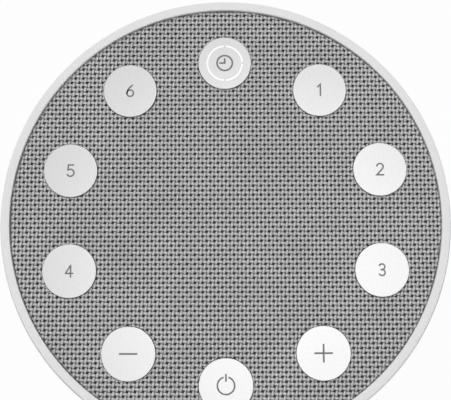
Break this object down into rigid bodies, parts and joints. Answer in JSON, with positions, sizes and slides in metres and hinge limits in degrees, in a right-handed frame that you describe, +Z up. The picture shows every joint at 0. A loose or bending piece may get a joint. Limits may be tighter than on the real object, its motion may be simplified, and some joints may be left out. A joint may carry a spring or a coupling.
{
  "type": "white noise sound machine",
  "caption": "Round tabletop sound machine: pale drum housing, recessed woven grille over an upward speaker, and a ring of round push buttons.",
  "frame": {"origin": "on the table under the middle of the housing, at the underside of the feet", "axes": "+Z up out of the grille, +Y towards the back, where the power socket and the timer button are"},
  "size_m": [0.1308, 0.1306, 0.05],
  "materials": {
    "housing_abs": "moulded, fine satin",
    "button_abs": "moulded, smooth satin",
    "black_abs": "moulded, matt",
    "grille_cloth": "open plain weave in grey yarn",
    "foot_rubber": "matt",
    "screw_steel": "zinc plated",
    "light_guide": "translucent, lit",
    "lamp_resin": "clear resin over phosphor",
    "board_laminate": "solder resist",
    "chip_resin": "moulded resin",
    "switch_plastic": "moulded",
    "gasket_foam": "closed foam",
    "basket_steel": "pressed, black paint",
    "motor_steel": "zinc plated",
    "magnet_ferrite": "ground ferrite",
    "surround_rubber": "matt",
    "spider_cloth": "resin-dipped cotton",
    "cone_paper": "pressed pulp",
    "coil_copper": "enamelled copper",
    "terminal_board": "phenolic with solder tags",
    "contact_brass": "nickel plated",
    "capacitor_sleeve": "shrink sleeve",
    "socket_nylon": "natural nylon",
    "red_wire": "pvc insulation",
    "grey_wire": "pvc insulation",
    "legend_ink": "pad printed, matt"
  },
  "bodies": {
    "housing": {"outer_shell": "housing_abs", "base_cover": "housing_abs", "base_screws": "screw_steel", "rubber_feet": "foot_rubber", "grille_frame": "black_abs", "grille_cloth": "grille_cloth", "timer_lights": "lamp_resin", "control_board": "board_laminate", "control_board_screws": "screw_steel", "control_chip": "chip_resin", "tact_switches": "switch_plastic", "speaker_gasket": "gasket_foam", "speaker_basket": "basket_steel", "speaker_screws": "screw_steel", "speaker_top_plate": "motor_steel", "speaker_magnet": "magnet_ferrite", "speaker_yoke": "motor_steel", "speaker_surround": "surround_rubber", "speaker_spider": "spider_cloth", "speaker_terminals": "terminal_board", "power_board": "board_laminate", "power_board_screws": "screw_steel", "power_socket": "black_abs", "power_socket_pin": "contact_brass", "amplifier_chip": "chip_resin", "capacitor": "capacitor_sleeve", "wire_sockets": "socket_nylon", "speaker_wires": "red_wire", "control_wires": "grey_wire"},
    "timer_key": {"timer_button": "button_abs", "timer_plunger": "switch_plastic", "timer_light_ring": "light_guide"},
    "sound_1_key": {"sound_1_button": "button_abs", "sound_1_plunger": "switch_plastic"},
    "sound_2_key": {"sound_2_button": "button_abs", "sound_2_plunger": "switch_plastic"},
    "sound_3_key": {"sound_3_button": "button_abs", "sound_3_plunger": "switch_plastic"},
    "plus_key": {"plus_button": "button_abs", "plus_plunger": "switch_plastic"},
    "power_key": {"power_button": "button_abs", "power_plunger": "switch_plastic"},
    "minus_key": {"minus_button": "button_abs", "minus_plunger": "switch_plastic"},
    "sound_4_key": {"sound_4_button": "button_abs", "sound_4_plunger": "switch_plastic"},
    "sound_5_key": {"sound_5_button": "button_abs", "sound_5_plunger": "switch_plastic"},
    "sound_6_key": {"sound_6_button": "button_abs", "sound_6_plunger": "switch_plastic"},
    "cone": {"speaker_cone": "cone_paper", "speaker_dust_cap": "cone_paper", "voice_coil": "coil_copper"}
  },
  "joints": [
    {"name": "timer_press", "type": "slide", "parent": "housing", "child": "timer_key", "axis": [0, 0, -1], "range_m": [0, 0.0005], "stiffness_N_per_m": 2800},
    {"name": "sound_1_press", "type": "slide", "parent": "housing", "child": "sound_1_key", "axis": [0, 0, -1], "range_m": [0, 0.0005], "stiffness_N_per_m": 2800},
    {"name": "sound_2_press", "type": "slide", "parent": "housing", "child": "sound_2_key", "axis": [0, 0, -1], "range_m": [0, 0.0005], "stiffness_N_per_m": 2800},
    {"name": "sound_3_press", "type": "slide", "parent": "housing", "child": "sound_3_key", "axis": [0, 0, -1], "range_m": [0, 0.0005], "stiffness_N_per_m": 2800},
    {"name": "plus_press", "type": "slide", "parent": "housing", "child": "plus_key", "axis": [0, 0, -1], "range_m": [0, 0.0005], "stiffness_N_per_m": 2800},
    {"name": "power_press", "type": "slide", "parent": "housing", "child": "power_key", "axis": [0, 0, -1], "range_m": [0, 0.0005], "stiffness_N_per_m": 2800},
    {"name": "minus_press", "type": "slide", "parent": "housing", "child": "minus_key", "axis": [0, 0, -1], "range_m": [0, 0.0005], "stiffness_N_per_m": 2800},
    {"name": "sound_4_press", "type": "slide", "parent": "housing", "child": "sound_4_key", "axis": [0, 0, -1], "range_m": [0, 0.0005], "stiffness_N_per_m": 2800},
    {"name": "sound_5_press", "type": "slide", "parent": "housing", "child": "sound_5_key", "axis": [0, 0, -1], "range_m": [0, 0.0005], "stiffness_N_per_m": 2800},
    {"name": "sound_6_press", "type": "slide", "parent": "housing", "child": "sound_6_key", "axis": [0, 0, -1], "range_m": [0, 0.0005], "stiffness_N_per_m": 2800},
    {"name": "cone_excursion", "type": "slide", "parent": "housing", "child": "cone", "axis": [0, 0, 1], "range_m": [-0.0015, 0.0015], "stiffness_N_per_m": 1500, "deforming": ["speaker_surround", "speaker_spider"]}
  ]
}
